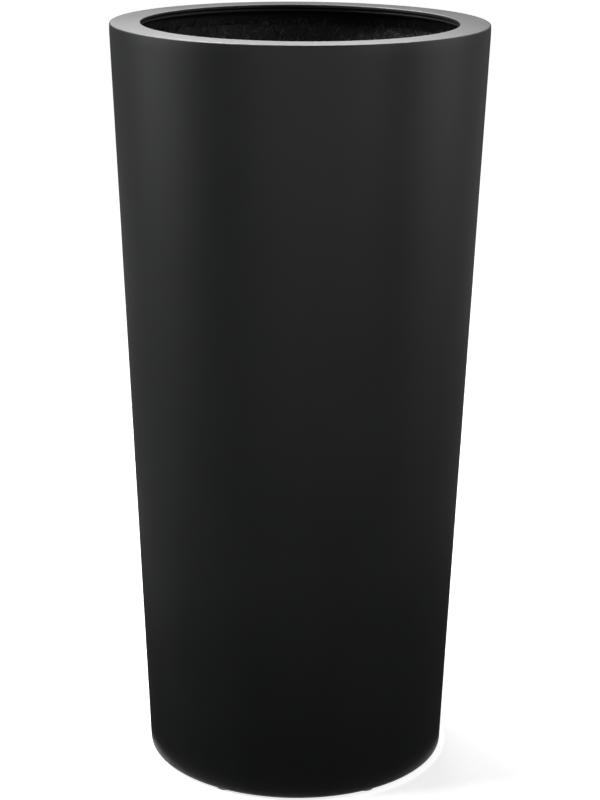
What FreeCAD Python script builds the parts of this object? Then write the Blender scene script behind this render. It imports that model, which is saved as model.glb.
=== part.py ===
"""Tall round fibreglass planter: a tapered moulded shell with a flat inward lip.

Frame: millimetres, +Z up, origin on the floor at the planter's axis. Everything round is a
profile in the XZ plane, turned about Z. Each profile corner is bound to the sheet of sizes.
"""
import FreeCAD
import Part
import Sketcher
import os

PARTS_FOLDER = "parts"
PAD_COUNT = 6
RIB_COUNT = 3

# name, size in millimetres, what it measures
SIZES = (
    ("height", 900.0, "floor to the top face of the lip"),
    ("rim_diameter", 440.0, "outside, at the top edge"),
    ("foot_diameter", 366.0, "outside, at the foot"),
    ("skin_thickness", 3.0, "moulded outer skin of the wall, measured radially"),
    ("lip_width", 36.0, "flat top face, from the outer edge to the mouth"),
    ("lip_thickness", 5.0, "moulded skin of the lip"),
    ("rim_corner", 1.5, "radius of the outer edge of the lip"),
    ("lip_edge", 2.0, "radius of the mouth's top edge"),
    ("foot_corner", 3.0, "radius of the outer edge of the foot"),
    ("foot_flange_width", 32.0, "inward return of the skin at the foot"),
    ("foot_flange_thickness", 4.0, "moulded skin of that return"),
    ("lining_thickness", 2.0, "glass mat laid up inside the wall, measured radially"),
    ("bond_gap", 0.3, "resin line between bonded cones and edges"),
    ("stiffener_thickness", 4.0, "backing ring under the lip"),
    ("stiffener_setback", 1.5, "backing ring's edge behind the mouth"),
    ("strip_thickness", 2.0, "glass bonding strips"),
    ("rim_strip_leg", 18.0, "rim strip, along the wall and under the backing ring"),
    ("rim_strip_cove", 6.0, "inside radius of the rim strip"),
    ("base_thickness", 6.0, "base plate"),
    ("base_strip_leg", 36.0, "base strip, up the wall and along the base plate"),
    ("base_strip_cove", 12.0, "inside radius of the base strip"),
    ("drain_diameter", 24.0, "hole through the base plate"),
    ("drain_chamfer", 1.0, "top edge of that hole"),
    ("plug_clearance", 0.1, "radial, between the plug's ribs and the hole"),
    ("plug_flange_diameter", 36.0, "flange that seals on the base plate"),
    ("plug_flange_thickness", 3.0, "flange"),
    ("plug_overhang", 2.0, "stem below the base plate"),
    ("rib_depth", 0.8, "sealing ribs, out from the stem"),
    ("rib_width", 1.2, "sealing ribs, along the stem"),
    ("grip_width", 20.0, "pinch grip on top of the plug"),
    ("grip_height", 15.0, "pinch grip, above the flange"),
    ("grip_thickness", 5.0, "pinch grip"),
    ("grip_corner", 6.0, "radius of the grip's top corners"),
    ("pad_diameter", 24.0, "foot pad"),
    ("pad_thickness", 3.0, "foot pad, which lifts the shell off the floor"),
    ("pad_chamfer", 0.6, "lower edge of a foot pad"),
)

SMALL = 1e-4


def make_sheet(doc):
    """The sheet of driving sizes: names in column A, values in column B."""
    sheet = doc.addObject("Spreadsheet::Sheet", "Sizes")
    for row, (name, value, meaning) in enumerate(SIZES, start=1):
        sheet.set(f"A{row}", name)
        sheet.set(f"B{row}", str(value))
        sheet.set(f"C{row}", meaning)
        sheet.setAlias(f"B{row}", name)
    doc.recompute()
    return sheet


def size(name):
    """A sheet size, as it is written in an expression."""
    return f"Sizes.{name}"


# Heights and radii that several pieces share, as expressions on the sheet.
RIM_RADIUS = f"({size('rim_diameter')} / 2)"
FOOT_RADIUS = f"({size('foot_diameter')} / 2)"
FOOT_Z = size("pad_thickness")
FLANGE_TOP_Z = f"({FOOT_Z} + {size('foot_flange_thickness')})"
BASE_TOP_Z = f"({FLANGE_TOP_Z} + {size('base_thickness')})"
LIP_TOP_Z = size("height")
LIP_UNDER_Z = f"({LIP_TOP_Z} - {size('lip_thickness')})"
STIFFENER_UNDER_Z = f"({LIP_UNDER_Z} - {size('stiffener_thickness')})"
MOUTH_RADIUS = f"({RIM_RADIUS} - {size('lip_width')})"
DRAIN_RADIUS = f"({size('drain_diameter')} / 2)"
RIB_RADIUS = f"({DRAIN_RADIUS} - {size('plug_clearance')})"
STEM_RADIUS = f"({RIB_RADIUS} - {size('rib_depth')})"
STEM_END_Z = f"({FLANGE_TOP_Z} - {size('plug_overhang')})"
PLUG_FLANGE_TOP_Z = f"({BASE_TOP_Z} + {size('plug_flange_thickness')})"


def wall_radius(z):
    """Radius of the tapered outside of the wall at height z."""
    taper = f"({RIM_RADIUS} - {FOOT_RADIUS}) / ({LIP_TOP_Z} - {FOOT_Z})"
    return f"({FOOT_RADIUS} + ({z} - {FOOT_Z}) * {taper})"


def skin_inside(z):
    """Inside of the moulded skin at height z."""
    return f"({wall_radius(z)} - {size('skin_thickness')})"


def bonded_to_skin(z):
    """Outside of a piece that is bonded to the skin at height z."""
    return f"({skin_inside(z)} - {size('bond_gap')})"


def lining_inside(z):
    """Rough inner face of the glass mat lining at height z."""
    return f"({bonded_to_skin(z)} - {size('lining_thickness')})"


def bonded_to_lining(z):
    """Outside of a piece that is bonded to the lining at height z."""
    return f"({lining_inside(z)} - {size('bond_gap')})"


def new_body(doc, label):
    body = doc.addObject("PartDesign::Body", label)
    body.Label = label
    return body


def plane_of(body, role):
    """One of the body's own origin planes."""
    return next(item for item in body.Origin.OriginFeatures if item.Role == role)


def new_sketch(body, name, role):
    sketch = body.newObject("Sketcher::SketchObject", name)
    sketch.AttachmentSupport = (plane_of(body, role), "")
    sketch.MapMode = "FlatFace"
    return sketch


def bind(sketch, kind, first, second, name, expression):
    """Adds a driving distance from the sketch's origin and ties it to the sheet."""
    origin_point = (-1, 1)
    constraint = Sketcher.Constraint(kind, *origin_point, first, second, 1.0)
    index = sketch.addConstraint(constraint)
    sketch.renameConstraint(index, name)
    sketch.setExpression(f"Constraints.{name}", expression)


def polygon_sketch(body, name, corners):
    """A closed profile in the XZ plane. Each corner is (x, z), as expressions on the sheet."""
    sketch = new_sketch(body, name, "XZ_Plane")
    count = len(corners)
    # A convex starting shape: the constraints below then pull each corner to its place.
    start = [FreeCAD.Vector(index + 1, index * index + 1, 0) for index in range(count)]
    for index in range(count):
        line = Part.LineSegment(start[index], start[(index + 1) % count])
        sketch.addGeometry(line, False)
    for index in range(count):
        following = (index + 1) % count
        sketch.addConstraint(Sketcher.Constraint("Coincident", index, 2, following, 1))
    for index, (x, z) in enumerate(corners):
        if x == "0":
            sketch.addConstraint(Sketcher.Constraint("PointOnObject", index, 1, -2))
        else:
            bind(sketch, "DistanceX", index, 1, f"x{index}", x)
        bind(sketch, "DistanceY", index, 1, f"z{index}", z)
    return sketch


def turned(doc, body, name, corners):
    """Turns a profile one full turn about Z."""
    sketch = polygon_sketch(body, f"{name}_profile", corners)
    feature = body.newObject("PartDesign::Revolution", name)
    feature.Profile = sketch
    feature.ReferenceAxis = (sketch, ["V_Axis"])
    feature.Angle = 360.0
    doc.recompute()
    return feature


def value_of(body, expression):
    """Number that an expression on the sheet stands for."""
    result = body.evalExpression(expression)
    return float(getattr(result, "Value", result))


def round_edges(shape, radius, z):
    """Names of the circles about Z that have this radius and height."""
    names = []
    for number, edge in enumerate(shape.Edges, start=1):
        circle = edge.Curve
        if not isinstance(circle, Part.Circle):
            continue
        if abs(circle.Radius - radius) < SMALL and abs(circle.Center.z - z) < SMALL:
            names.append(f"Edge{number}")
    return names


def soften(doc, body, kind, base, corner, amount):
    """Fillets or chamfers the round edge at corner (radius, z) of the base feature."""
    radius, z = (value_of(body, expression) for expression in corner)
    edges = round_edges(base.Shape, radius, z)
    if not edges:
        raise ValueError(f"{body.Label}: no round edge at radius {radius}, height {z}")
    before = base.Shape.Volume
    feature = body.newObject(f"PartDesign::{kind}", kind)
    feature.Base = (base, edges)
    size_name = "Radius" if kind == "Fillet" else "Size"
    feature.setExpression(size_name, amount)
    doc.recompute()
    if abs(feature.Shape.Volume - before) < SMALL:
        raise ValueError(f"{body.Label}: the {kind.lower()} changed nothing")
    return feature


def outer_shell(doc):
    """Moulded skin: tapered wall, flat inward lip and the inward return at the foot."""
    body = new_body(doc, "outer_shell")
    flange_radius = f"({FOOT_RADIUS} - {size('foot_flange_width')})"
    corners = [
        (flange_radius, FOOT_Z),
        (FOOT_RADIUS, FOOT_Z),
        (RIM_RADIUS, LIP_TOP_Z),
        (MOUTH_RADIUS, LIP_TOP_Z),
        (MOUTH_RADIUS, LIP_UNDER_Z),
        (skin_inside(LIP_UNDER_Z), LIP_UNDER_Z),
        (skin_inside(FLANGE_TOP_Z), FLANGE_TOP_Z),
        (flange_radius, FLANGE_TOP_Z),
    ]
    feature = turned(doc, body, "ShellTurn", corners)
    feature = soften(doc, body, "Fillet", feature, (RIM_RADIUS, LIP_TOP_Z), size("rim_corner"))
    feature = soften(doc, body, "Fillet", feature, (MOUTH_RADIUS, LIP_TOP_Z), size("lip_edge"))
    soften(doc, body, "Fillet", feature, (FOOT_RADIUS, FOOT_Z), size("foot_corner"))
    return body


def mat_lining(doc):
    """Chopped strand mat laid up inside the wall, from the foot return to the backing ring."""
    body = new_body(doc, "mat_lining")
    corners = [
        (lining_inside(FLANGE_TOP_Z), FLANGE_TOP_Z),
        (bonded_to_skin(FLANGE_TOP_Z), FLANGE_TOP_Z),
        (bonded_to_skin(STIFFENER_UNDER_Z), STIFFENER_UNDER_Z),
        (lining_inside(STIFFENER_UNDER_Z), STIFFENER_UNDER_Z),
    ]
    turned(doc, body, "LiningTurn", corners)
    return body


def lip_stiffener(doc):
    """Backing ring that thickens the lip from below."""
    body = new_body(doc, "lip_stiffener")
    inner_radius = f"({MOUTH_RADIUS} + {size('stiffener_setback')})"
    corners = [
        (inner_radius, STIFFENER_UNDER_Z),
        (bonded_to_skin(STIFFENER_UNDER_Z), STIFFENER_UNDER_Z),
        (bonded_to_skin(LIP_UNDER_Z), LIP_UNDER_Z),
        (inner_radius, LIP_UNDER_Z),
    ]
    turned(doc, body, "StiffenerTurn", corners)
    return body


def bonding_strip(doc, label, seat_z, direction, leg, cove):
    """Glass strip with an L section in the corner of the lining and a flat face at seat_z.

    direction is + for a strip that stands on its seat, and - for one that hangs from it.
    """
    body = new_body(doc, label)
    thickness = size("strip_thickness")
    end_z = f"({seat_z} {direction} {leg})"
    face_z = f"({seat_z} {direction} {thickness})"
    flat_end = f"({bonded_to_lining(seat_z)} - {leg})"
    inner_corner = (f"({bonded_to_lining(face_z)} - {thickness})", face_z)
    corners = [
        (bonded_to_lining(seat_z), seat_z),
        (bonded_to_lining(end_z), end_z),
        (f"({bonded_to_lining(end_z)} - {thickness})", end_z),
        inner_corner,
        (flat_end, face_z),
        (flat_end, seat_z),
    ]
    feature = turned(doc, body, "StripTurn", corners)
    soften(doc, body, "Fillet", feature, inner_corner, cove)
    return body


def base_plate(doc):
    """Laminated disc that rests on the foot return, with the drain hole at its centre."""
    body = new_body(doc, "base_plate")
    disc = body.newObject("PartDesign::Pad", "Disc")
    disc.Profile = circle_sketch(body, "DiscOutline", bonded_to_lining(FLANGE_TOP_Z))
    disc.setExpression("Length", size("base_thickness"))
    doc.recompute()
    before = disc.Shape.Volume

    drain = body.newObject("PartDesign::Pocket", "Drain")
    drain.Profile = circle_sketch(body, "DrainOutline", DRAIN_RADIUS)
    drain.Type = "ThroughAll"
    drain.Reversed = True
    doc.recompute()
    if drain.Shape.Volume > before - SMALL:
        raise ValueError("base_plate: the drain hole cut nothing")

    top_edge = (DRAIN_RADIUS, size("base_thickness"))
    soften(doc, body, "Chamfer", drain, top_edge, size("drain_chamfer"))
    body.setExpression("Placement.Base.z", FLANGE_TOP_Z)
    return body


def circle_sketch(body, name, radius):
    """A circle about the origin in the XY plane."""
    sketch = new_sketch(body, name, "XY_Plane")
    circle = Part.Circle(FreeCAD.Vector(0, 0, 0), FreeCAD.Vector(0, 0, 1), 1.0)
    sketch.addGeometry(circle, False)
    sketch.addConstraint(Sketcher.Constraint("Coincident", 0, 3, -1, 1))
    index = sketch.addConstraint(Sketcher.Constraint("Radius", 0, 1.0))
    sketch.renameConstraint(index, "radius")
    sketch.setExpression("Constraints.radius", radius)
    return sketch


def drain_plug(doc):
    """Rubber bung: a ribbed stem, a flange that seals inside, and a pinch grip on top."""
    body = new_body(doc, "drain_plug")
    flange_radius = f"({size('plug_flange_diameter')} / 2)"
    corners = [
        ("0", STEM_END_Z),
        (STEM_RADIUS, STEM_END_Z),
        (STEM_RADIUS, BASE_TOP_Z),
        (flange_radius, BASE_TOP_Z),
        (flange_radius, PLUG_FLANGE_TOP_Z),
        ("0", PLUG_FLANGE_TOP_Z),
    ]
    turned(doc, body, "StemTurn", corners)

    # One sealing rib, then its copies up the stem. They stay clear of the hole's chamfer.
    rib_end_z = f"({STEM_END_Z} + {size('rib_width')})"
    rib_corners = [
        (f"({STEM_RADIUS} - {size('rib_depth')})", STEM_END_Z),
        (RIB_RADIUS, STEM_END_Z),
        (RIB_RADIUS, rib_end_z),
        (f"({STEM_RADIUS} - {size('rib_depth')})", rib_end_z),
    ]
    rib = turned(doc, body, "Rib", rib_corners)
    ribs = body.newObject("PartDesign::LinearPattern", "Ribs")
    ribs.Originals = [rib]
    ribs.Direction = (rib.Profile[0], ["V_Axis"])
    ribs.Occurrences = RIB_COUNT
    stem_length = f"({BASE_TOP_Z} - {STEM_END_Z})"
    ribs.setExpression("Length", f"{stem_length} - {size('drain_chamfer')} - 2 * {size('rib_width')}")
    body.Tip = ribs
    doc.recompute()

    grip_top_z = f"({PLUG_FLANGE_TOP_Z} + {size('grip_height')})"
    half_width = f"({size('grip_width')} / 2)"
    grip_corners = [
        (f"-{half_width}", PLUG_FLANGE_TOP_Z),
        (half_width, PLUG_FLANGE_TOP_Z),
        (half_width, grip_top_z),
        (f"-{half_width}", grip_top_z),
    ]
    grip = body.newObject("PartDesign::Pad", "Grip")
    grip.Profile = polygon_sketch(body, "GripOutline", grip_corners)
    grip.setExpression("Length", size("grip_thickness"))
    grip.SideType = "Symmetric"
    doc.recompute()

    # The two top corners, seen from the front, run along Y.
    top_corners = straight_edges_along_y(grip.Shape, value_of(body, grip_top_z))
    rounding = body.newObject("PartDesign::Fillet", "GripCorners")
    rounding.Base = (grip, top_corners)
    rounding.setExpression("Radius", size("grip_corner"))
    doc.recompute()
    return body


def straight_edges_along_y(shape, z):
    """Names of the straight edges along Y at height z."""
    names = []
    for number, edge in enumerate(shape.Edges, start=1):
        ends = [vertex.Point for vertex in edge.Vertexes]
        if len(ends) != 2 or not isinstance(edge.Curve, Part.Line):
            continue
        along = ends[1] - ends[0]
        if abs(along.x) < SMALL and abs(along.z) < SMALL and abs(ends[0].z - z) < SMALL:
            names.append(f"Edge{number}")
    return names


def foot_pad(doc, number):
    """One rubber pad under the middle of the foot return."""
    body = new_body(doc, f"foot_pad_{number}")
    pad_radius = f"({size('pad_diameter')} / 2)"
    disc = body.newObject("PartDesign::Pad", "PadDisc")
    disc.Profile = circle_sketch(body, "PadOutline", pad_radius)
    disc.setExpression("Length", size("pad_thickness"))
    doc.recompute()
    soften(doc, body, "Chamfer", disc, (pad_radius, "0"), size("pad_chamfer"))
    pitch_radius = f"({FOOT_RADIUS} - {size('foot_flange_width')} / 2)"
    turn = 360.0 * (number - 1) / PAD_COUNT
    body.setExpression("Placement.Base.x", f"{pitch_radius} * cos({turn} deg)")
    body.setExpression("Placement.Base.y", f"{pitch_radius} * sin({turn} deg)")
    return body


def build(doc):
    """Every sub-part, in the order in which the planter is put together."""
    bodies = [outer_shell(doc), mat_lining(doc), lip_stiffener(doc)]
    rim_leg, rim_cove = size("rim_strip_leg"), size("rim_strip_cove")
    base_leg, base_cove = size("base_strip_leg"), size("base_strip_cove")
    bodies.append(bonding_strip(doc, "rim_strip", STIFFENER_UNDER_Z, "-", rim_leg, rim_cove))
    bodies.append(base_plate(doc))
    bodies.append(bonding_strip(doc, "base_strip", BASE_TOP_Z, "+", base_leg, base_cove))
    bodies.append(drain_plug(doc))
    bodies += [foot_pad(doc, number) for number in range(1, PAD_COUNT + 1)]
    doc.recompute()
    return bodies


def check(doc, bodies):
    """Stops the build if a feature failed or a sub-part isn't one sound solid."""
    for item in doc.Objects:
        if "Invalid" in item.State or "Error" in item.State:
            raise ValueError(f"{item.Name} failed: {item.State}")
    for body in bodies:
        shape = body.Shape
        if shape.isNull() or not shape.isValid() or len(shape.Solids) != 1:
            raise ValueError(f"{body.Label} isn't one sound solid")


def write(bodies):
    os.makedirs(PARTS_FOLDER, exist_ok=True)
    for body in bodies:
        body.Shape.exportStep(os.path.join(PARTS_FOLDER, f"{body.Label}.step"))
        box = body.Shape.BoundBox
        print(f"{body.Label:14s} {body.Shape.Volume / 1000:9.1f} cm3  z {box.ZMin:.2f} to {box.ZMax:.2f}")


def main():
    doc = FreeCAD.newDocument("Planter")
    make_sheet(doc)
    bodies = build(doc)
    check(doc, bodies)
    write(bodies)


main()
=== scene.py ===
import math
import random

import bmesh
import bpy
from mathutils import Matrix, Vector


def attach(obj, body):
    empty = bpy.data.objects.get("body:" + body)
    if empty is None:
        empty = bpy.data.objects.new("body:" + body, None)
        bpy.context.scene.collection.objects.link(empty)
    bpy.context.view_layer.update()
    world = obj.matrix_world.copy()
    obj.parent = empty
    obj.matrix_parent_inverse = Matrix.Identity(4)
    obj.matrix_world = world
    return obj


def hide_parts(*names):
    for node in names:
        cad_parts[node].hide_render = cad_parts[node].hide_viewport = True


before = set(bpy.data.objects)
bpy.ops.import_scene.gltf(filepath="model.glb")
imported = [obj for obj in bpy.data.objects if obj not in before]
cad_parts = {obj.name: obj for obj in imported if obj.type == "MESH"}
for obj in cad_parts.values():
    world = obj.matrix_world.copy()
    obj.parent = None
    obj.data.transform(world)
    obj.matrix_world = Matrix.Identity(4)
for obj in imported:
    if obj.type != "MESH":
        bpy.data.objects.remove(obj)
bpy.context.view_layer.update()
print("frame loaded, nodes:", len(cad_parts))


# shader helpers

# one socket of a node tree, and arithmetic on it adds the Math nodes
class Wire:
    def __init__(self, recipe, socket):
        self.recipe = recipe
        self.socket = socket

    def __add__(self, other):
        return self.recipe.maths("ADD", self, other)

    def __radd__(self, other):
        return self.recipe.maths("ADD", other, self)

    def __sub__(self, other):
        return self.recipe.maths("SUBTRACT", self, other)

    def __rsub__(self, other):
        return self.recipe.maths("SUBTRACT", other, self)

    def __mul__(self, other):
        return self.recipe.maths("MULTIPLY", self, other)

    def __rmul__(self, other):
        return self.recipe.maths("MULTIPLY", other, self)

    def __gt__(self, other):
        return self.recipe.maths("GREATER_THAN", self, other)

    def __lt__(self, other):
        return self.recipe.maths("LESS_THAN", self, other)


class Recipe:
    def __init__(self, tree):
        self.tree = tree
        tree.nodes.clear()

    # a node of any type: its settings first, then the values or links of its sockets
    def add(self, kind, settings=None, values=None):
        node = self.tree.nodes.new(kind)
        for name, value in (settings or {}).items():
            if name == "stops":
                self.setStops(node.color_ramp, value)
            else:
                setattr(node, name, value)
        for name, value in (values or {}).items():
            socket = node.inputs[name]
            if isinstance(value, Wire):
                self.tree.links.new(value.socket, socket)
            else:
                socket.default_value = value
        return node

    def setStops(self, ramp, stops):
        while len(ramp.elements) < len(stops):
            ramp.elements.new(0.5)
        for element, stop in zip(ramp.elements, stops):
            element.position = stop[0]
            element.color = (stop[1], stop[1], stop[1], 1)

    def wire(self, node, output):
        return Wire(self, node.outputs[output])

    def maths(self, operation, first, second=0.0):
        node = self.add("ShaderNodeMath", {"operation": operation}, {0: first, 1: second})
        return self.wire(node, 0)

    def place(self, source="Object"):
        return self.wire(self.add("ShaderNodeTexCoord"), source)

    def mapped(self, vector, scale=(1, 1, 1), turn=0.0, shift=(0, 0, 0)):
        values = {"Vector": vector, "Scale": scale, "Rotation": (0, 0, turn), "Location": shift}
        return self.wire(self.add("ShaderNodeMapping", None, values), "Vector")

    def noise(self, vector, scale, detail=2.0, roughness=0.5):
        values = {"Vector": vector, "Scale": scale, "Detail": detail, "Roughness": roughness}
        return self.wire(self.add("ShaderNodeTexNoise", None, values), 0)

    def cells(self, vector, scale):
        node = self.add("ShaderNodeTexVoronoi", {"feature": "F1"}, {"Vector": vector, "Scale": scale})
        return self.wire(node, "Distance"), self.wire(node, "Color")

    def ramp(self, value, stops):
        node = self.add("ShaderNodeValToRGB", {"stops": stops}, {"Fac": value})
        return self.wire(node, "Color")

    def blendColours(self, factor, first, second):
        values = {0: factor, 6: first, 7: second}
        node = self.add("ShaderNodeMix", {"data_type": "RGBA"}, values)
        return self.wire(node, 2)

    def bump(self, height, depth, normal=None):
        values = {"Height": height, "Distance": depth, "Strength": 1.0}
        if normal is not None:
            values["Normal"] = normal
        return self.wire(self.add("ShaderNodeBump", None, values), "Normal")

    def surface(self, values):
        shader = self.add("ShaderNodeBsdfPrincipled", None, values)
        self.add("ShaderNodeOutputMaterial", None, {"Surface": self.wire(shader, "BSDF")})


def newMaterial(name):
    material = bpy.data.materials.new(name)
    material.use_nodes = True
    return material, Recipe(material.node_tree)


# materials

lacquer = {
    "deep": (0.0050, 0.0056, 0.0060, 1),
    "hazy": (0.0066, 0.0072, 0.0076, 1),
    "speck": (0.050, 0.050, 0.048, 1),
    "speckSpacing": 95.0,
    "speckRadius": 0.045,
    "speckRarity": 0.965,
    "roughness": 0.42,
    "mottle": 0.05,
    "peel": 240.0,
    "peelDepth": 0.000012,
    "wave": 11.0,
    "waveDepth": 0.00016,
}


def makeLacquer():
    material, mix = newMaterial("satinBlackLacquer")
    spot = mix.place()
    mottle = mix.noise(spot, 7.0, 3.0, 0.55)
    streak = mix.noise(mix.mapped(spot, (16, 16, 0.9)), 1.0, 3.0, 0.6)
    grain = mix.noise(spot, 900.0, 1.0)
    peel = mix.noise(spot, lacquer["peel"], 1.5, 0.5)
    wave = mix.noise(spot, lacquer["wave"], 1.0)
    cellNear, cellShade = mix.cells(spot, lacquer["speckSpacing"])
    cellDraw = mix.wire(mix.add("ShaderNodeSeparateColor", None, {"Color": cellShade}), 0)
    dust = (cellNear < lacquer["speckRadius"]) * (cellDraw > lacquer["speckRarity"])
    haze = mix.ramp(mottle * 0.6 + streak * 0.4, [(0.38, 0), (0.62, 1)])
    colour = mix.blendColours(haze, lacquer["deep"], lacquer["hazy"])
    colour = mix.blendColours(dust * 0.8, colour, lacquer["speck"])
    roughness = lacquer["roughness"] - lacquer["mottle"] + lacquer["mottle"] * (mottle + streak)
    normal = mix.bump(wave, lacquer["waveDepth"])
    normal = mix.bump(peel * 0.8 + grain * 0.2, lacquer["peelDepth"], normal)
    mix.surface({"Base Color": colour, "Roughness": roughness, "Normal": normal, "IOR": 1.5})
    return material


glassMat = {
    "resin": (0.0030, 0.0032, 0.0034, 1),
    "fibre": (0.3300, 0.3340, 0.3350, 1),
    "roughness": 0.50,
    "lumpDepth": 0.0012,
}

resinedStrip = {
    "resin": (0.0022, 0.0022, 0.0022, 1),
    "fibre": (0.0060, 0.0060, 0.0060, 1),
    "roughness": 0.52,
    "lumpDepth": 0.0006,
}

glassWeave = {
    "turns": (0.2, 0.85, 1.45, 2.05, 2.7),
    "stretch": (80, 760, 1),
    "edges": [(0.61, 0), (0.67, 1)],
    "lump": 95.0,
    "pore": 260.0,
    "patch": 9.0,
    "grit": 430.0,
    "fleckEdges": [(0.55, 0), (0.60, 1)],
    "depth": 0.0005,
}


# bundles of glass lying in five directions, seen through the resin
def fibreField(mix, spot):
    field = None
    for index, turn in enumerate(glassWeave["turns"]):
        shift = (0.37 * index, 0.61 * index, 0)
        along = mix.mapped(spot, glassWeave["stretch"], turn, shift)
        fibres = mix.ramp(mix.noise(along, 1.0, 2.0, 0.6), glassWeave["edges"])
        if field is None:
            field = fibres
        else:
            field = mix.maths("MAXIMUM", field, fibres)
    return field


def makeGlassMat(name, look):
    material, mix = newMaterial(name)
    spot = mix.place("UV")
    field = fibreField(mix, spot)
    lumps = mix.noise(spot, glassWeave["lump"], 3.0, 0.6)
    pores = mix.cells(spot, glassWeave["pore"])[0]
    patch = mix.noise(spot, glassWeave["patch"], 2.0)
    grit = mix.noise(spot, glassWeave["grit"], 3.0, 0.75)
    fleck = mix.ramp(grit, glassWeave["fleckEdges"])
    shade = field * 0.50 + lumps * patch * 0.20 + fleck * 0.45
    colour = mix.blendColours(shade, look["resin"], look["fibre"])
    roughness = look["roughness"] + 0.16 * lumps - 0.10 * field
    normal = mix.bump(lumps, look["lumpDepth"])
    normal = mix.bump(field + 0.25 * pores + 0.9 * grit, glassWeave["depth"], normal)
    mix.surface({"Base Color": colour, "Roughness": roughness, "Normal": normal, "IOR": 1.5})
    return material


strandGlass = {
    "dark": (0.0035, 0.0037, 0.0039, 1),
    "pale": (0.3600, 0.3650, 0.3650, 1),
    "grain": 700.0,
    "grainDepth": 0.00012,
}


def makeStrandGlass():
    material, mix = newMaterial("resinedStrand")
    shade = mix.wire(mix.add("ShaderNodeAttribute", {"attribute_name": "shade"}), "Fac")
    spot = mix.place()
    grain = mix.noise(spot, strandGlass["grain"], 2.0)
    colour = mix.blendColours(shade * (0.2 + 1.6 * grain), strandGlass["dark"], strandGlass["pale"])
    roughness = 0.34 + 0.22 * grain
    normal = mix.bump(grain, strandGlass["grainDepth"])
    mix.surface({"Base Color": colour, "Roughness": roughness, "Normal": normal, "IOR": 1.5})
    return material


rubber = {
    "plain": (0.0140, 0.0142, 0.0146, 1),
    "bloom": (0.0300, 0.0300, 0.0296, 1),
    "roughness": 0.68,
    "grain": 2600.0,
    "grainDepth": 0.00004,
}


def makeRubber():
    material, mix = newMaterial("blackRubber")
    spot = mix.place()
    bloom = mix.ramp(mix.noise(spot, 120.0, 4.0, 0.6), [(0.45, 0), (0.75, 1)])
    grain = mix.noise(spot, rubber["grain"], 2.0)
    colour = mix.blendColours(bloom * 0.7, rubber["plain"], rubber["bloom"])
    roughness = rubber["roughness"] + 0.14 * bloom
    normal = mix.bump(grain, rubber["grainDepth"])
    mix.surface({"Base Color": colour, "Roughness": roughness, "Normal": normal, "IOR": 1.5})
    return material


satinBlack = makeLacquer()
matBlack = makeGlassMat("rawGlassMat", glassMat)
stripBlack = makeGlassMat("resinedStrip", resinedStrip)
strandBlack = makeStrandGlass()
rubberBlack = makeRubber()
print("materials made")


# modelling helpers

def startPiece():
    if bpy.context.object is not None and bpy.context.object.mode != "OBJECT":
        bpy.ops.object.mode_set(mode="OBJECT")
    bpy.ops.object.select_all(action="DESELECT")


def useOnly(piece):
    startPiece()
    piece.select_set(True)
    bpy.context.view_layer.objects.active = piece


# selects the vertices that the test picks, in edit mode
def pick(piece, test):
    sheet = bmesh.from_edit_mesh(piece.data)
    bpy.ops.mesh.select_mode(type="VERT")
    bpy.ops.mesh.select_all(action="DESELECT")
    for vertex in sheet.verts:
        vertex.select = test(vertex.co)
    sheet.select_flush(True)
    bmesh.update_edit_mesh(piece.data)


def arc(radius, height, rounding, start, end, steps):
    points = []
    for step in range(steps + 1):
        angle = math.radians(start + (end - start) * step / steps)
        points.append((radius + rounding * math.cos(angle), height + rounding * math.sin(angle)))
    return points


def spread(first, last, steps):
    points = []
    for step in range(1, steps):
        share = step / steps
        points.append((first[0] + (last[0] - first[0]) * share, first[1] + (last[1] - first[1]) * share))
    return points


def onRing(co, point):
    return abs(math.hypot(co.x, co.y) - point[0]) < 2e-5 and abs(co.z - point[1]) < 2e-5


# a circle of edges is extruded from ring to ring along the outline
def turned(name, outline, segments, closed=True):
    startPiece()
    radius, height = outline[0]
    bpy.ops.mesh.primitive_circle_add(vertices=segments, radius=radius, location=(0, 0, height))
    piece = bpy.context.object
    piece.name = name
    piece.data.name = name
    bpy.ops.object.transform_apply(location=True, rotation=True, scale=True)
    bpy.ops.object.mode_set(mode="EDIT")
    bpy.ops.mesh.select_mode(type="VERT")
    bpy.ops.mesh.select_all(action="SELECT")
    if not closed:
        bpy.ops.mesh.edge_face_add()
        bpy.ops.mesh.inset(thickness=radius * 0.02)
        pick(piece, lambda co: math.hypot(co.x, co.y) > radius * 0.995)
    for nextRadius, nextHeight in outline[1:]:
        growth = nextRadius / radius
        bpy.ops.mesh.extrude_edges_move(TRANSFORM_OT_translate={"value": (0, 0, nextHeight - height)})
        bpy.ops.transform.resize(value=(growth, growth, 1), center_override=(0, 0, nextHeight))
        radius, height = nextRadius, nextHeight
    if closed:
        pick(piece, lambda co: onRing(co, outline[0]) or onRing(co, outline[-1]))
        bpy.ops.mesh.bridge_edge_loops()
    else:
        bpy.ops.mesh.edge_face_add()
    bpy.ops.mesh.select_all(action="SELECT")
    bpy.ops.mesh.normals_make_consistent(inside=False)
    bpy.ops.object.mode_set(mode="OBJECT")
    return piece


# lumps of a given width along the normals or along z, where the weight allows them
def ripple(piece, name, width, depth, weigh, direction="NORMAL", middle=0.5):
    group = piece.vertex_groups.new(name=name)
    for vertex in piece.data.vertices:
        weight = weigh(vertex.co)
        if weight > 0:
            group.add([vertex.index], weight, "REPLACE")
    texture = bpy.data.textures.new(name, "CLOUDS")
    texture.noise_scale = width
    texture.noise_depth = 2
    useOnly(piece)
    modifier = piece.modifiers.new(name, "DISPLACE")
    modifier.texture = texture
    modifier.texture_coords = "LOCAL"
    modifier.direction = direction
    modifier.strength = depth
    modifier.mid_level = middle
    modifier.vertex_group = name
    bpy.ops.object.modifier_apply(modifier=name)


def smoothShade(piece, degrees=40):
    useOnly(piece)
    bpy.ops.object.shade_smooth_by_angle(angle=math.radians(degrees))


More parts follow.
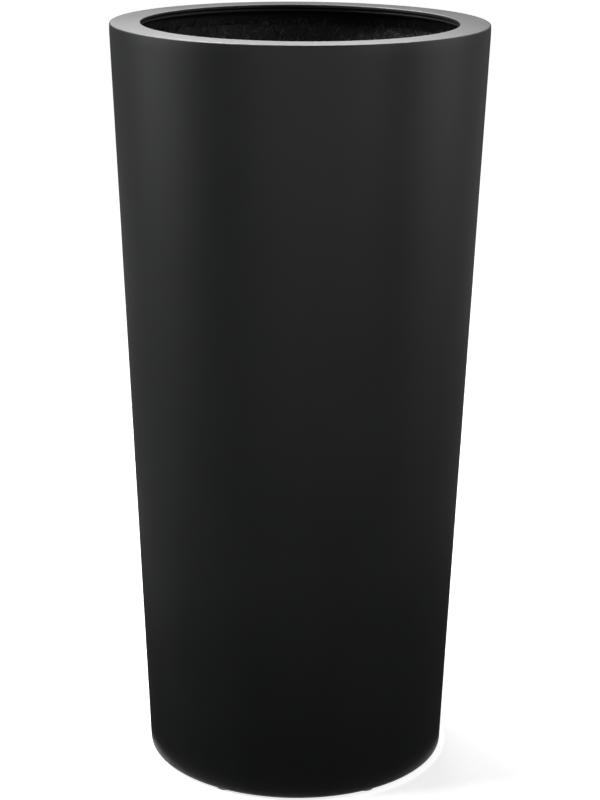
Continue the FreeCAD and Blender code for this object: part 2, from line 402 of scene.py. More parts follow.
# the map runs in metres: along the wall's girth and up, or flat over a level face
def giveMap(piece, girth):
    layer = piece.data.uv_layers.new(name="surface")
    for face in piece.data.polygons:
        middle = math.atan2(face.center.y, face.center.x)
        flat = abs(face.normal.z) > 0.8
        for loop in face.loop_indices:
            co = piece.data.vertices[piece.data.loops[loop].vertex_index].co
            if flat:
                layer.data[loop].uv = (co.x, co.y)
            else:
                angle = math.atan2(co.y, co.x)
                if angle - middle > math.pi:
                    angle = angle - 2 * math.pi
                if middle - angle > math.pi:
                    angle = angle + 2 * math.pi
                layer.data[loop].uv = (angle * girth, co.z)


def finishPiece(piece, material, body, nodes):
    piece.data.materials.clear()
    piece.data.materials.append(material)
    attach(piece, body)
    if nodes:
        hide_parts(*nodes)


# moulded skin: wall, lip and the return at the foot

skin = {
    "footRadius": 0.183,
    "footHeight": 0.003,
    "rimRadius": 0.220,
    "rimHeight": 0.900,
    "wall": 0.003,
    "mouthRadius": 0.184,
    "mouthRounding": 0.0010,
    "lip": 0.005,
    "rimRounding": 0.0015,
    "footRounding": 0.003,
    "returnRadius": 0.151,
    "returnTop": 0.007,
    "rollHeight": 0.013,
    "rollDepth": 0.00065,
    "ringStep": 0.0125,
    "segments": 192,
    "waveWidth": 0.11,
    "waviness": 0.00030,
}


def wallRadius(height):
    slope = (skin["rimRadius"] - skin["footRadius"]) / (skin["rimHeight"] - skin["footHeight"])
    return skin["footRadius"] + (height - skin["footHeight"]) * slope


# the wall turns in a little just below the rim, as a released moulding does
def rolledRadius(height):
    share = (height - skin["rimHeight"] + skin["rollHeight"]) / skin["rollHeight"]
    return wallRadius(height) - skin["rollDepth"] * max(0.0, share) ** 2


# the lip's inner edge: a small rounding, the bore and a chamfer below it
def mouthEdge():
    mouth = skin["mouthRadius"]
    turn = skin["mouthRounding"]
    rim = skin["rimHeight"]
    points = [(mouth + turn + 0.0004, rim)]
    points += arc(mouth + turn, rim - turn, turn, 90, 180, 6)
    points += [(mouth, rim - 0.0034), (mouth + 0.0001, rim - 0.0038), (mouth + 0.0005, rim - 0.0042)]
    return points


def skinOutline():
    foot = skin["footHeight"]
    rim = skin["rimHeight"]
    rounding = skin["footRounding"]
    points = [(skin["returnRadius"] + 0.0005, foot)]
    outer = wallRadius(foot + rounding) - rounding
    points += spread(points[0], (outer, foot), 5)
    points.append((outer - 0.0006, foot))
    points += arc(outer, foot + rounding, rounding, -90, -2.4, 7)
    rollStart = rim - skin["rollHeight"]
    low = foot + rounding + 0.0006
    steps = round((rollStart - low) / skin["ringStep"])
    for step in range(steps + 1):
        height = low + (rollStart - low) * step / steps
        points.append((wallRadius(height), height))
    rollTop = rim - skin["rimRounding"] - 0.0005
    for step in range(1, 11):
        height = rollStart + (rollTop - rollStart) * step / 10
        points.append((rolledRadius(height), height))
    edge = skin["rimRounding"]
    points += arc(rolledRadius(rim - edge) - edge, rim - edge, edge, 4, 90, 8)
    points.append((rolledRadius(rim - edge) - edge - 0.0006, rim))
    points += spread(points[-1], (skin["mouthRadius"] + skin["mouthRounding"] + 0.0004, rim), 7)
    points += mouthEdge()
    under = rim - skin["lip"]
    points.append((skin["mouthRadius"] + 0.0014, under + 0.0001))
    points.append((skin["mouthRadius"] + 0.0018, under))
    inside = skin["wall"]
    points += spread(points[-1], (wallRadius(under) - inside, under), 4)
    top = (wallRadius(under) - inside, under)
    bottom = (wallRadius(skin["returnTop"]) - inside, skin["returnTop"])
    points.append(top)
    points += spread(top, bottom, 18)
    points.append(bottom)
    points.append((skin["returnRadius"] + 0.0005, skin["returnTop"]))
    points.append((skin["returnRadius"], skin["returnTop"] - 0.0005))
    points.append((skin["returnRadius"], foot + 0.0005))
    return points


# the waves fade out towards the foot and the rim
def onOuterWall(co):
    if math.hypot(co.x, co.y) < wallRadius(co.z) - 0.0012:
        return 0.0
    aboveFoot = (co.z - 0.02) / 0.05
    belowRim = (0.885 - co.z) / 0.03
    return max(0.0, min(1.0, aboveFoot, belowRim))


planterSkin = turned("planterSkin", skinOutline(), skin["segments"])
ripple(planterSkin, "wallWave", skin["waveWidth"], skin["waviness"], onOuterWall, middle=0.62)
smoothShade(planterSkin)
finishPiece(planterSkin, satinBlack, "planter", ["outer_shell"])
print("skin done, faces:", len(planterSkin.data.polygons))


# glass mat laid up inside the wall

lining = {
    "outerGap": 0.0033,
    "innerGap": 0.0053,
    "bottom": 0.007,
    "top": 0.891,
    "fineZone": 0.075,
    "fineStep": 0.0028,
    "step": 0.0068,
    "segments": 288,
    "girth": 0.205,
    "swellWidth": 0.030,
    "swells": 0.0010,
    "lumpWidth": 0.0075,
    "lumps": 0.0011,
}


def liningInside(height):
    return wallRadius(height) - lining["innerGap"]


def liningOutline():
    bottom = lining["bottom"]
    top = lining["top"]
    points = [(wallRadius(bottom) - lining["outerGap"], bottom)]
    upper = (wallRadius(top) - lining["outerGap"], top)
    points += spread(points[0], upper, 10)
    points.append(upper)
    height = top
    while height > bottom + lining["step"]:
        points.append((liningInside(height), height))
        if height > top - lining["fineZone"]:
            height = height - lining["fineStep"]
        else:
            height = height - lining["step"]
    points.append((liningInside(bottom), bottom))
    return points


def onLiningFace(co):
    if math.hypot(co.x, co.y) > liningInside(co.z) + 0.0008:
        return 0.0
    aboveBottom = (co.z - lining["bottom"] - 0.005) / 0.01
    belowTop = (lining["top"] - 0.002 - co.z) / 0.01
    return max(0.0, min(1.0, aboveBottom, belowTop))


matLining = turned("matLining", liningOutline(), lining["segments"])
ripple(matLining, "matSwells", lining["swellWidth"], lining["swells"], onLiningFace, middle=0.45)
ripple(matLining, "matLumps", lining["lumpWidth"], lining["lumps"], onLiningFace)
giveMap(matLining, lining["girth"])
smoothShade(matLining, 60)
finishPiece(matLining, matBlack, "planter", ["mat_lining"])
print("lining done, faces:", len(matLining.data.polygons))


# backing ring under the lip, with a resin bead on its inner face

backing = {
    "bottom": 0.891,
    "top": 0.895,
    "innerRadius": 0.1872,
    "bead": 0.0002,
    "beadProfile": ((0.35, 0.0002), (0.75, 0.0007), (1.0, 0.0014), (0.95, 0.0022), (0.6, 0.0029)),
    "segments": 192,
    "girth": 0.192,
    "waveWidth": 0.020,
    "waves": 0.0003,
}


def backingOutline():
    bottom = backing["bottom"]
    top = backing["top"]
    inner = backing["innerRadius"]
    points = [(inner + 0.0015, bottom)]
    for share, height in backing["beadProfile"]:
        points.append((inner + 0.0009 * (1 - share) - backing["bead"] * share, bottom + height))
    points.append((inner + 0.0002, top - 0.0006))
    points.append((inner + 0.0006, top))
    outer = wallRadius(bottom) - skin["wall"] - 0.0001
    points += spread(points[-1], (outer, top), 3)
    points.append((outer, top))
    points.append((outer, bottom))
    points += spread((outer, bottom), points[0], 3)
    return points


def onBead(co):
    return 1.0 if math.hypot(co.x, co.y) < backing["innerRadius"] + 0.001 else 0.0


lipBacking = turned("lipBacking", backingOutline(), backing["segments"])
ripple(lipBacking, "beadWave", backing["waveWidth"], backing["waves"], onBead)
giveMap(lipBacking, backing["girth"])
smoothShade(lipBacking, 50)
finishPiece(lipBacking, stripBlack, "planter", ["lip_stiffener"])


# strips that bond the backing ring and the base to the wall

rimStripSizes = {
    "top": 0.891,
    "bottom": 0.873,
    "thickness": 0.002,
    "innerRadius": 0.196,
    "cove": 0.006,
    "feather": 0.0095,
    "edgeWidth": 0.022,
    "edgeWaves": 0.005,
    "edgeReach": 0.006,
    "lumpWidth": 0.013,
    "lumps": 0.0007,
    "segments": 240,
}


# the strip feathers out towards its lower edge
def stripThickness(height):
    share = max(0.0, min(1.0, (height - rimStripSizes["bottom"]) / rimStripSizes["feather"]))
    return 0.0001 + (rimStripSizes["thickness"] - 0.0001) * share ** 0.7


def rimStripOutline():
    top = rimStripSizes["top"]
    bottom = rimStripSizes["bottom"]
    thick = rimStripSizes["thickness"]
    cove = rimStripSizes["cove"]
    inner = rimStripSizes["innerRadius"]
    points = [(inner, top)]
    points.append((inner, top - thick * 0.55))
    points.append((inner + 0.0005, top - thick * 0.9))
    points.append((inner + 0.0014, top - thick))
    centre = liningInside(top - thick - cove) - thick - cove
    points += spread(points[-1], (centre, top - thick), 3)
    points += arc(centre, top - thick - cove, cove, 90, 0, 7)
    high = top - thick - cove
    for step in range(1, 8):
        height = high + (bottom + 0.0004 - high) * step / 7
        points.append((liningInside(height) - stripThickness(height), height))
    points.append((liningInside(bottom) + 0.0002, bottom))
    points.append((liningInside(top) + 0.0002, top))
    points += spread(points[-1], points[0], 3)
    return points


# a weight that falls off from one height of a strip's edge
def nearEdge(height, reach):
    def weigh(co):
        return max(0.0, 1.0 - abs(co.z - height) / reach)
    return weigh


def onStripFace(co):
    inside = math.hypot(co.x, co.y) < liningInside(co.z) - 0.0008
    return 1.0 if inside and co.z < rimStripSizes["top"] - 0.0025 else 0.0


rimStrip = turned("rimStrip", rimStripOutline(), rimStripSizes["segments"])
lowerEdge = nearEdge(rimStripSizes["bottom"], rimStripSizes["edgeReach"])
ripple(rimStrip, "stripEdge", rimStripSizes["edgeWidth"], rimStripSizes["edgeWaves"], lowerEdge, direction="Z")
ripple(rimStrip, "stripFace", rimStripSizes["lumpWidth"], rimStripSizes["lumps"], onStripFace)
giveMap(rimStrip, lining["girth"])
smoothShade(rimStrip, 60)
finishPiece(rimStrip, matBlack, "planter", ["rim_strip"])

baseStripSizes = {
    "bottom": 0.013,
    "leg": 0.036,
    "thickness": 0.002,
    "cove": 0.012,
    "edgeWidth": 0.024,
    "edgeWaves": 0.007,
    "edgeReach": 0.009,
    "lumpWidth": 0.014,
    "lumps": 0.0009,
    "segments": 224,
    "girth": 0.178,
}


def baseStripOutline():
    bottom = baseStripSizes["bottom"]
    thick = baseStripSizes["thickness"]
    cove = baseStripSizes["cove"]
    top = bottom + baseStripSizes["leg"]
    inner = liningInside(bottom) - baseStripSizes["leg"]
    points = [(inner, bottom)]
    points.append((inner + 0.0004, bottom + thick * 0.4))
    points.append((inner + 0.0016, bottom + thick * 0.85))
    points.append((inner + 0.0034, bottom + thick))
    centre = liningInside(bottom + thick + cove) - thick - cove
    points += spread(points[-1], (centre, bottom + thick), 7)
    points += arc(centre, bottom + thick + cove, cove, -90, 0, 9)
    low = bottom + thick + cove
    for step in range(1, 8):
        height = low + (top - 0.003 - low) * step / 7
        points.append((liningInside(height) - thick, height))
    points.append((liningInside(top) - thick * 0.75, top - 0.0012))
    points.append((liningInside(top) - thick * 0.3, top - 0.0003))
    points.append((liningInside(top) + 0.0002, top))
    points.append((liningInside(bottom) + 0.0002, bottom))
    points += spread(points[-1], points[0], 3)
    return points


def onBaseStripFace(co):
    inside = math.hypot(co.x, co.y) < liningInside(co.z) - 0.0008
    return 1.0 if inside and co.z > baseStripSizes["bottom"] + 0.0015 else 0.0


baseStrip = turned("baseStrip", baseStripOutline(), baseStripSizes["segments"])
upperEdge = nearEdge(baseStripSizes["bottom"] + baseStripSizes["leg"], baseStripSizes["edgeReach"])
ripple(baseStrip, "baseStripEdge", baseStripSizes["edgeWidth"], baseStripSizes["edgeWaves"], upperEdge,
       direction="Z")
ripple(baseStrip, "baseStripFace", baseStripSizes["lumpWidth"], baseStripSizes["lumps"], onBaseStripFace)
giveMap(baseStrip, baseStripSizes["girth"])
smoothShade(baseStrip, 60)
finishPiece(baseStrip, stripBlack, "planter", ["base_strip"])
print("strips done")


# base with its drain hole

baseSizes = {
    "bottom": 0.007,
    "top": 0.013,
    "radius": 0.1775,
    "hole": 0.012,
    "chamfer": 0.001,
    "step": 0.0042,
    "segments": 160,
    "girth": 0.1,
    "lumpWidth": 0.010,
    "lumps": 0.0009,
}


def baseOutline():
    bottom = baseSizes["bottom"]
    top = baseSizes["top"]
    hole = baseSizes["hole"]
    points = [(hole, bottom + 0.0003)]
    points.append((hole, top - baseSizes["chamfer"] - 0.0003))
    points.append((hole + 0.0001, top - baseSizes["chamfer"] + 0.0001))
    points.append((hole + baseSizes["chamfer"] - 0.0001, top - 0.0001))
    points.append((hole + baseSizes["chamfer"] + 0.0004, top))
    radius = hole + baseSizes["chamfer"] + 0.0014
    while radius < baseSizes["radius"] - baseSizes["step"]:
        points.append((radius, top))
        radius = radius + baseSizes["step"]
    points.append((baseSizes["radius"], top))
    points.append((baseSizes["radius"], bottom))
    points += spread(points[-1], (hole + 0.0003, bottom), 12)
    points.append((hole + 0.0003, bottom))
    return points


# the base stays flat around the hole, where the plug's flange seats
def onBaseTop(co):
    if co.z < baseSizes["top"] - 0.0002:
        return 0.0
    return max(0.0, min(1.0, (math.hypot(co.x, co.y) - 0.022) / 0.02))


basePlate = turned("basePlate", baseOutline(), baseSizes["segments"])
ripple(basePlate, "baseLumps", baseSizes["lumpWidth"], baseSizes["lumps"], onBaseTop, direction="Z",
       middle=0.6)
giveMap(basePlate, baseSizes["girth"])
smoothShade(basePlate, 50)
finishPiece(basePlate, matBlack, "planter", ["base_plate"])
print("base done")


# chopped strands of the mat, each kind copied from one bundle

strands = {
    "seed": 41,
    "steepShare": 0.6,
    "steepTurn": (2.25, 0.42),
    "flatTurn": (0.75, 0.50),
}

rimKind = {
    "count": 5200,
    "zone": (0.838, 0.8840),
    "length": (0.004, 0.011),
    "width": (0.0004, 0.0008),
    "thickness": (0.00035, 0.00070),
    "stray": 0.0,
    "paleness": 1.0,
}

wallKind = {
    "count": 2200,
    "zone": (0.045, 0.845),
    "length": (0.022, 0.045),
    "width": (0.0008, 0.0018),
    "thickness": (0.0005, 0.0009),
    "stray": 0.0,
    "paleness": 0.3,
}

baseKind = {
    "count": 520,
    "reach": (0.045, 0.150),
    "length": (0.026, 0.050),
    "width": (0.0014, 0.0028),
    "thickness": (0.00035, 0.00070),
    "stray": 0.0,
    "paleness": 1.0,
}

hairKind = {
    "count": 420,
    "zone": (0.83, 0.883),
    "length": (0.005, 0.014),
    "width": (0.00020, 0.00036),
    "thickness": (0.00020, 0.00036),
    "stray": 0.0018,
    "paleness": 1.0,
}


def makeBundle(name, sides, cuts):
    startPiece()
    bpy.ops.mesh.primitive_cylinder_add(vertices=sides, radius=0.5, depth=1, rotation=(0, math.pi / 2, 0))
    bundle = bpy.context.object
    bundle.name = name
    bpy.ops.object.transform_apply(location=True, rotation=True, scale=True)
    bpy.ops.object.mode_set(mode="EDIT")
    for cut in cuts:
        bpy.ops.mesh.select_all(action="SELECT")
        bpy.ops.mesh.bisect(plane_co=(cut, 0, 0), plane_no=(1, 0, 0))
    for end in (-0.5, 0.5):
        pick(bundle, lambda co: abs(co.x - end) < 0.01)
        bpy.ops.transform.resize(value=(1, 0.45, 0.3), center_override=(end, 0, 0))
    bpy.ops.object.mode_set(mode="OBJECT")
    bundle.data.attributes.new("shade", "FLOAT", "POINT")
    return bundle


# where the fibres lie: on the mat, and over the lower part of the rim strip
def fibreBed(height):
    if height < rimStripSizes["bottom"]:
        return liningInside(height)
    return liningInside(height) - stripThickness(height)


# a vertex of the bundle goes to its place along, across and above the bed
def laid(co, strand):
    along = co.x * strand["length"]
    across = co.y * strand["width"] + strand["bend"] * along * along + strand["sway"] * math.sin(along * 90)
    above = co.z * strand["thickness"] + strand["lift"] + strand["stray"] * co.x * abs(co.x) * 4
    turn = strand["turn"]
    side = along * math.cos(turn) - across * math.sin(turn)
    rise = along * math.sin(turn) + across * math.cos(turn)
    return side, rise, above


def layCopies(name, bundle, plan, place):
    copies = []
    for strand in plan:
        mesh = bundle.data.copy()
        for vertex in mesh.vertices:
            vertex.co = place(laid(vertex.co, strand), strand)
        mesh.attributes["shade"].data.foreach_set("value", [strand["shade"]] * len(mesh.vertices))
        copy = bpy.data.objects.new(name, mesh)
        bpy.context.scene.collection.objects.link(copy)
        copies.append(copy)
    startPiece()
    for copy in copies:
        copy.select_set(True)
    bpy.context.view_layer.objects.active = copies[0]
    bpy.ops.object.join()
    piece = bpy.context.object
    piece.name = name
    smoothShade(piece, 60)
    finishPiece(piece, strandBlack, "planter", [])
    print(name, "copies:", len(plan), "faces:", len(piece.data.polygons))


def onWall(spot, strand):
    side, rise, above = spot
    height = strand["height"] + rise
    radius = fibreBed(height) - above
    angle = strand["angle"] + side / radius
    return Vector((radius * math.cos(angle), radius * math.sin(angle), height))


def onBase(spot, strand):
    side, rise, above = spot
    return Vector((strand["x"] + side, strand["y"] + rise, baseSizes["top"] + above))


# most bundles lie on one of the two diagonals
def fallenTurn(dice):
    if dice.random() < strands["steepShare"]:
        return dice.gauss(*strands["steepTurn"]) % math.pi
    return dice.gauss(*strands["flatTurn"]) % math.pi


def planStrand(dice, kind):
    return {
        "length": dice.uniform(*kind["length"]),
        "width": dice.uniform(*kind["width"]),
        "thickness": dice.uniform(*kind["thickness"]),
        "bend": dice.uniform(-3, 3),
        "sway": dice.uniform(-0.0003, 0.0003),
        "lift": dice.uniform(-0.0001, 0.0005),
        "stray": dice.uniform(0, kind["stray"]),
        "turn": fallenTurn(dice),
        "shade": dice.random() ** 3.2 * kind["paleness"],
    }


# a strand that would stand out of the top of its zone is laid flatter
def planWall(dice, kind):
    bottom, top = kind["zone"]
    plan = []
    for index in range(kind["count"]):
        strand = planStrand(dice, kind)
        half = abs(math.sin(strand["turn"])) * strand["length"] / 2 + 0.002
        strand["angle"] = dice.uniform(0, 2 * math.pi)
        strand["height"] = dice.uniform(bottom + half * 0.5, top - half * 0.85)
        if strand["height"] + half > top + 0.002:
            strand["turn"] = strand["turn"] * 0.2
        plan.append(strand)
    return plan


def planBase(dice, kind):
    near, far = kind["reach"]
    plan = []
    for index in range(kind["count"]):
        strand = planStrand(dice, kind)
        reach = math.sqrt(dice.uniform(near ** 2, far ** 2))
        angle = dice.uniform(0, 2 * math.pi)
        strand["x"] = reach * math.cos(angle)
        strand["y"] = reach * math.sin(angle)
        plan.append(strand)
    return plan


dice = random.Random(strands["seed"])
shortBundle = makeBundle("strandBundle", 3, (-0.2, 0.2))
longBundle = makeBundle("longBundle", 4, (-0.36, -0.12, 0.12, 0.36))
hairBundle = makeBundle("hairBundle", 3, (-0.25, 0.0, 0.25))
layCopies("rimStrands", shortBundle, planWall(dice, rimKind), onWall)
layCopies("wallStrands", longBundle, planWall(dice, wallKind), onWall)
layCopies("baseStrands", longBundle, planBase(dice, baseKind), onBase)
layCopies("looseHairs", hairBundle, planWall(dice, hairKind), onWall)
for bundle in (shortBundle, longBundle, hairBundle):
    bpy.data.objects.remove(bundle)


# rubber drain plug

plugSizes = {
    "stem": 0.0111,
    "rib": 0.0119,
    "flange": 0.018,
    "bottom": 0.005,
    "seat": 0.013,
    "flangeTop": 0.016,
    "gripWidth": 0.020,
    "gripDepth": 0.005,
    "gripTop": 0.031,
    "gripRounding": 0.006,
    "ridgeHeights": (0.0198, 0.0228, 0.0258),
    "ribHeights": (0.0050, 0.0073, 0.0096),
    "segments": 96,
}


def plugOutline():
    stem = plugSizes["stem"]
    rib = plugSizes["rib"]
    flange = plugSizes["flange"]
    seat = plugSizes["seat"]
    top = plugSizes["flangeTop"]
    bottom = plugSizes["bottom"]
    points = [(0.0040, bottom + 0.0010), (0.0080, bottom + 0.0008), (0.0090, bottom + 0.0002)]
    points += [(0.0100, bottom), (0.0112, bottom)]
    for low in plugSizes["ribHeights"]:
        points.append((rib - 0.0002, low + 0.0003))
        points.append((rib, low + 0.0006))
        points.append((rib - 0.0002, low + 0.0010))
        points.append((stem, low + 0.0013))
        points.append((stem, low + 0.0020))
    points.append((stem, seat - 0.0003))
    points.append((stem + 0.0003, seat))
    points.append((flange - 0.0006, seat))
    points += arc(flange - 0.0004, seat + 0.0005, 0.0004, -70, 0, 3)
    points += arc(flange - 0.0012, top - 0.0012, 0.0012, 0, 90, 5)
    points.append((flange - 0.0020, top))
    points.append((0.0150, top - 0.0001))
    points.append((0.0146, top - 0.0005))
    points.append((0.0140, top - 0.0005))
    points.append((0.0136, top - 0.0001))
    points.append((0.0100, top))
    points.append((0.0040, top))
    return points


def makeGrip():
    width = plugSizes["gripWidth"]
    depth = plugSizes["gripDepth"]
    top = plugSizes["gripTop"]
    bottom = plugSizes["flangeTop"] - 0.0008
    middle = (0, 0, (top + bottom) / 2)
    startPiece()
    bpy.ops.mesh.primitive_cube_add(size=1, location=middle, scale=(width, depth, top - bottom))
    grip = bpy.context.object
    grip.name = "plugGrip"
    bpy.ops.object.transform_apply(location=True, rotation=True, scale=True)
    bpy.ops.object.mode_set(mode="EDIT")
    for side in (-1, 1):
        pick(grip, lambda co: co.z > top - 0.0001 and co.x * side > width * 0.49)
        bpy.ops.mesh.bevel(offset=plugSizes["gripRounding"], segments=7, affect="EDGES")
    bpy.ops.mesh.select_all(action="DESELECT")
    sheet = bmesh.from_edit_mesh(grip.data)
    for edge in sheet.edges:
        low = max(vertex.co.z for vertex in edge.verts) < bottom + 0.0001
        across = abs(edge.verts[0].co.y - edge.verts[1].co.y) > depth * 0.5
        edge.select = not low and not across
    bmesh.update_edit_mesh(grip.data)
    bpy.ops.mesh.bevel(offset=0.0009, segments=3, affect="EDGES")
    # the foot of the grip spreads into the flange
    pick(grip, lambda co: co.z < bottom + 0.0001)
    bpy.ops.mesh.extrude_region_move(TRANSFORM_OT_translate={"value": (0, 0, -0.0001)})
    bpy.ops.transform.resize(value=(1.06, 1.22, 1), center_override=(0, 0, bottom))
    bpy.ops.object.mode_set(mode="OBJECT")
    return grip


def makeRidge(width):
    startPiece()
    bpy.ops.mesh.primitive_cube_add(size=1, scale=(width, 0.0014, 0.0013))
    bar = bpy.context.object
    bar.name = "gripRidge"
    bpy.ops.object.transform_apply(location=True, rotation=True, scale=True)
    bpy.ops.object.mode_set(mode="EDIT")
    bpy.ops.mesh.select_all(action="SELECT")
    bpy.ops.mesh.bevel(offset=0.0005, segments=3, affect="EDGES")
    bpy.ops.object.mode_set(mode="OBJECT")
    return bar


# three finger ridges on each face of the grip
def layRidges(first):
    mesh = first.data.copy()
    ridges = []
    for side in (-1, 1):
        for height in plugSizes["ridgeHeights"]:
            bar = first
            if ridges:
                bar = bpy.data.objects.new("gripRidge", mesh.copy())
                bpy.context.scene.collection.objects.link(bar)
            bar.data.transform(Matrix.Translation((0, side * plugSizes["gripDepth"] / 2, height)))
            ridges.append(bar)
    return ridges


drainPlug = turned("drainPlug", plugOutline(), plugSizes["segments"], closed=False)
gripParts = [makeGrip()]
gripParts += layRidges(makeRidge(plugSizes["gripWidth"] * 0.72))
startPiece()
for part in gripParts:
    part.select_set(True)
drainPlug.select_set(True)
bpy.context.view_layer.objects.active = drainPlug
bpy.ops.object.join()
smoothShade(drainPlug, 35)
finishPiece(drainPlug, rubberBlack, "plug", ["drain_plug"])
print("plug done, faces:", len(drainPlug.data.polygons))


# six rubber foot pads

padSizes = {
    "count": 6,
    "radius": 0.012,
    "height": 0.003,
    "chamfer": 0.0006,
    "grooves": (0.0042, 0.0080),
    "pitchRadius": 0.167,
    "segments": 64,
}


# a dimple and two round grooves in the tread, then the chamfered side
def padOutline():
    radius = padSizes["radius"]
    height = padSizes["height"]
    cut = padSizes["chamfer"]
    points = [(0.0018, 0.0006), (0.0024, 0.0001), (0.0028, 0.0)]
    for start in padSizes["grooves"]:
        points += [(start, 0.0), (start + 0.0004, 0.0001), (start + 0.0008, 0.0006)]
        points += [(start + 0.0016, 0.0006), (start + 0.0020, 0.0001), (start + 0.0024, 0.0)]
    points += [(radius - cut - 0.0002, 0.0), (radius - cut, 0.00005), (radius - 0.00005, cut)]
    points += [(radius, cut + 0.0002), (radius, height - cut - 0.0002), (radius - 0.00005, height - cut)]
    points += [(radius - cut, height - 0.00005), (radius - cut - 0.0002, height), (0.0060, height)]
    return points


firstPad = turned("footPad1", padOutline(), padSizes["segments"], closed=False)
padMesh = firstPad.data.copy()
for index in range(padSizes["count"]):
    angle = math.radians(360 / padSizes["count"] * index)
    shift = (padSizes["pitchRadius"] * math.cos(angle), padSizes["pitchRadius"] * math.sin(angle), 0)
    if index == 0:
        pad = firstPad
    else:
        pad = bpy.data.objects.new(f"footPad{index + 1}", padMesh.copy())
        bpy.context.scene.collection.objects.link(pad)
    pad.data.transform(Matrix.Translation(shift))
    smoothShade(pad, 35)
    finishPiece(pad, rubberBlack, "planter", [f"foot_pad_{index + 1}"])
print("foot pads done")


# studio: floor, cards, lamps, world and camera

studio = {
    "floorSize": 90,
    "floorColour": (0.80, 0.80, 0.79, 1),
    "floorGlow": 0.78,
    "ambient": 0.288,
    "ceilingHeight": 3.4,
    "ceilingRadius": 3.0,
    "flagReach": 3.9,
    "cardLift": 0.0003,
}


# 1 for what the camera sees, also by reflection or through glass, and 0 for the room light
def seenDirectly(mix):
    path = mix.add("ShaderNodeLightPath")
    seen = mix.wire(path, "Is Camera Ray") + mix.wire(path, "Is Glossy Ray")
    return mix.maths("MINIMUM", seen + mix.wire(path, "Is Transmission Ray"), 1.0)


def makeFloor():
    startPiece()
    bpy.ops.mesh.primitive_plane_add(size=studio["floorSize"])
    floor = bpy.context.object
    floor.name = "studioFloor"
    material, mix = newMaterial("paleFloor")
    paper = mix.add("ShaderNodeBsdfDiffuse", None, {"Color": studio["floorColour"]})
    glow = mix.add("ShaderNodeEmission", None, {"Strength": seenDirectly(mix) * studio["floorGlow"]})
    both = mix.add("ShaderNodeAddShader", None, {0: mix.wire(paper, 0), 1: mix.wire(glow, 0)})
    mix.add("ShaderNodeOutputMaterial", None, {"Surface": mix.wire(both, 0)})
    floor.data.materials.append(material)


# a card has one even tone and shows in reflections, a deep one dims the room light too
def finishCard(card, tone, deep=False):
    material, mix = newMaterial(card.name + "Tone")
    cloth = mix.add("ShaderNodeEmission", None, {"Strength": tone})
    mix.add("ShaderNodeOutputMaterial", None, {"Surface": mix.wire(cloth, 0)})
    card.data.materials.append(material)
    card.visible_camera = False
    card.visible_diffuse = deep
    card.visible_shadow = False
    card.visible_transmission = False


# a level ring, with its lower face at the given height
def ringCard(name, inner, outer, height, tone, deep=False):
    outline = [(inner, height), (outer, height), (outer, height + 0.0001), (inner, height + 0.0001)]
    finishCard(turned(name, outline, 64), tone, deep)


def planeCard(name, place, turn, width, height, tone, deep=False):
    startPiece()
    bpy.ops.mesh.primitive_plane_add(size=1, location=place, rotation=turn)
    card = bpy.context.object
    card.name = name
    card.scale = (width, height, 1)
    bpy.ops.object.transform_apply(location=True, rotation=True, scale=True)
    finishCard(card, tone, deep)


# an upright card at a distance from the axis, facing it, with its lower edge on the floor
def uprightCard(name, azimuth, width, height, tone=0.0, deep=False):
    turn = math.radians(azimuth)
    reach = studio["flagReach"]
    place = (reach * math.sin(turn), -reach * math.cos(turn), height / 2 + 0.001)
    planeCard(name, place, (math.pi / 2, 0, turn), width, height, tone, deep)


def addLamp(name, place, target, width, height, strength):
    lamp = bpy.data.lights.new(name, "AREA")
    lamp.shape = "RECTANGLE"
    lamp.size = width
    lamp.size_y = height
    lamp.energy = strength
    holder = bpy.data.objects.new(name, lamp)
    bpy.context.scene.collection.objects.link(holder)
    holder.location = place
    aim = Vector(target) - Vector(place)
    holder.rotation_euler = aim.to_track_quat("-Z", "Y").to_euler()
    holder.visible_camera = False


makeFloor()
ringCard("footCard", 0.19, 0.5, studio["cardLift"], 0.035, deep=True)
ringCard("innerCard", 0.5, 0.8, studio["cardLift"], 0.045)
ringCard("nearCard", 0.8, 2.0, studio["cardLift"], 0.115)
ringCard("farCard", 2.0, 16.0, studio["cardLift"], 0.21)
ringCard("ceilingCard", 0.3, studio["ceilingRadius"], studio["ceilingHeight"], 0.0)
planeCard("leftPatch", (-0.95, 0.42, 2 * studio["cardLift"]), (0, 0, 0), 0.9, 0.9, 0.15)
uprightCard("frontFlag", 0, 3.3, 3.2, deep=True)
uprightCard("frontLeftFlag", -45, 3.3, 2.7, deep=True)
uprightCard("frontRightFlag", 45, 3.3, 2.7, deep=True)
uprightCard("leftScreen", 270, 2.9, 3.6, tone=0.8)
uprightCard("rightScreen", 90, 2.9, 3.6, tone=0.8)
uprightCard("backFlag", 180, 3.3, 2.6)
uprightCard("backLeftFlag", 225, 3.3, 1.6, tone=0.12)
uprightCard("backRightFlag", 135, 3.3, 1.6, tone=0.24)

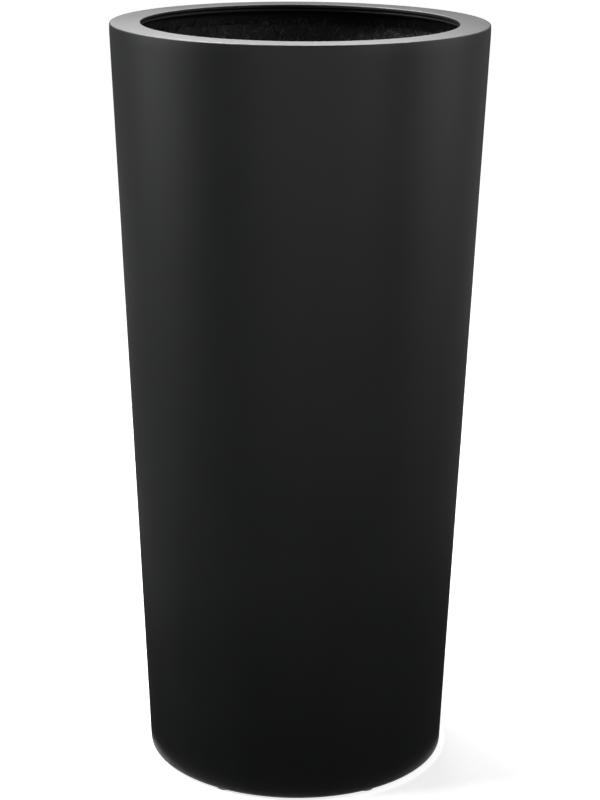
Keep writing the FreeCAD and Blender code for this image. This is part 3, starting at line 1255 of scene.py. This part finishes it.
lamps = [
    ("softboxHighLeft", (-1.7, -0.2, 2.6), (0, 0, 0.6), 1.2, 1.2, 98),
    ("softboxLeft", (-2.3, -0.1, 1.5), (0, 0, 0.6), 1.4, 2.4, 7.0),
    ("softboxRight", (2.3, -0.1, 1.5), (0, 0, 0.6), 1.4, 2.4, 7.2),
    ("softboxRightFront", (1.8, -1.8, 1.2), (0, 0, 0.6), 0.6, 1.6, 6.2),
    ("softboxLow", (0.25, -3.0, 0.5), (0, 0, 0.6), 4.2, 0.4, 11.5),
    ("rimLampLeft", (-0.29, 0.61, 1.58), (0, 0, 0.9), 0.50, 0.37, 14.5),
    ("rimLampRight", (0.14, 0.65, 1.46), (0, 0, 0.9), 0.30, 0.32, 4.2),
]
for lamp in lamps:
    addLamp(*lamp)

world = bpy.data.worlds.new("studioWorld")
bpy.context.scene.world = world
world.use_nodes = True
world.cycles.sampling_method = "NONE"
mix = Recipe(world.node_tree)
seen = seenDirectly(mix)
sky = mix.add("ShaderNodeBackground", None, {
    "Color": (1, 1, 1, 1),
    "Strength": seen + (1 - seen) * studio["ambient"],
})
mix.add("ShaderNodeOutputWorld", None, {"Surface": mix.wire(sky, 0)})

view = {
    "place": (0.0, -2.42890, 1.17619),
    "pitch": 0.29256,
    "yaw": 0.0012,
    "roll": -0.0072,
    "lens": 93.946,
    "sensor": 36,
    "clip": (0.05, 200),
}


# the camera looks along +Y, tipped down by the pitch and rolled about its axis
def makeCamera():
    data = bpy.data.cameras.new("photoCamera")
    data.lens = view["lens"]
    data.sensor_width = view["sensor"]
    data.clip_start, data.clip_end = view["clip"]
    camera = bpy.data.objects.new("photoCamera", data)
    bpy.context.scene.collection.objects.link(camera)
    ahead = Vector((math.sin(view["yaw"]) * math.cos(view["pitch"]),
                    math.cos(view["yaw"]) * math.cos(view["pitch"]),
                    -math.sin(view["pitch"])))
    right = Vector((math.cos(view["yaw"]), -math.sin(view["yaw"]), 0))
    down = ahead.cross(right)
    side = right * math.cos(view["roll"]) + down * math.sin(view["roll"])
    drop = down * math.cos(view["roll"]) - right * math.sin(view["roll"])
    turn = Matrix((side, -drop, -ahead)).transposed()
    camera.matrix_world = Matrix.Translation(view["place"]) @ turn.to_4x4()
    bpy.context.scene.camera = camera


makeCamera()
bpy.context.scene.view_settings.view_transform = "Standard"
print("studio done")
